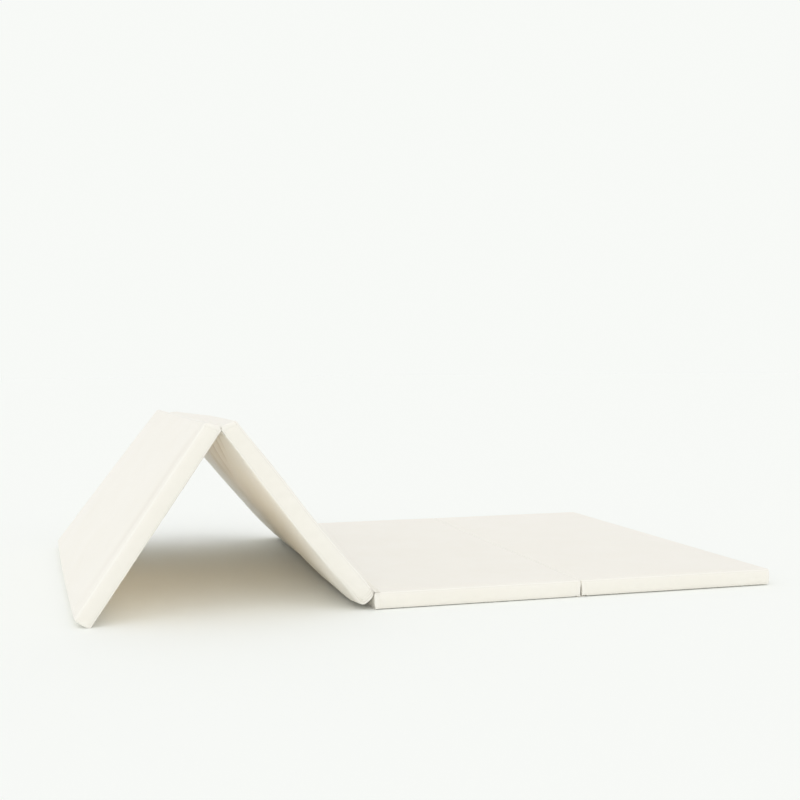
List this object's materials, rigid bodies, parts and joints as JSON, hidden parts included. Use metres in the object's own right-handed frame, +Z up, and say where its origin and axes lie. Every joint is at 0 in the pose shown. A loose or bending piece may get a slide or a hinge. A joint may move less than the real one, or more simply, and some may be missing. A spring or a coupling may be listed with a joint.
{
  "type": "tumbling mat",
  "caption": "Folding padded tumbling mat in smooth ivory artificial leather, one half raised into a tent and the other half lying flat on the floor.",
  "frame": {"origin": "on the floor under the middle of the whole mat's box", "axes": "+X along the mat from the foot of the tent to the flat end, +Y across the mat from its near side to its far side, +Z up"},
  "size_m": [1.6932, 1.202, 0.4324],
  "materials": {
    "cover": "smooth ivory artificial leather with a fine grain and a soft satin sheen",
    "fold_web": "the same ivory artificial leather, double thickness"
  },
  "bodies": {
    "root": {"panel_1": "cover", "panel_2": "cover", "panel_3": "cover", "panel_4": "cover", "fold_web_1_2": "fold_web", "fold_web_2_3": "fold_web", "fold_web_3_4": "fold_web"}
  },
  "joints": []
}
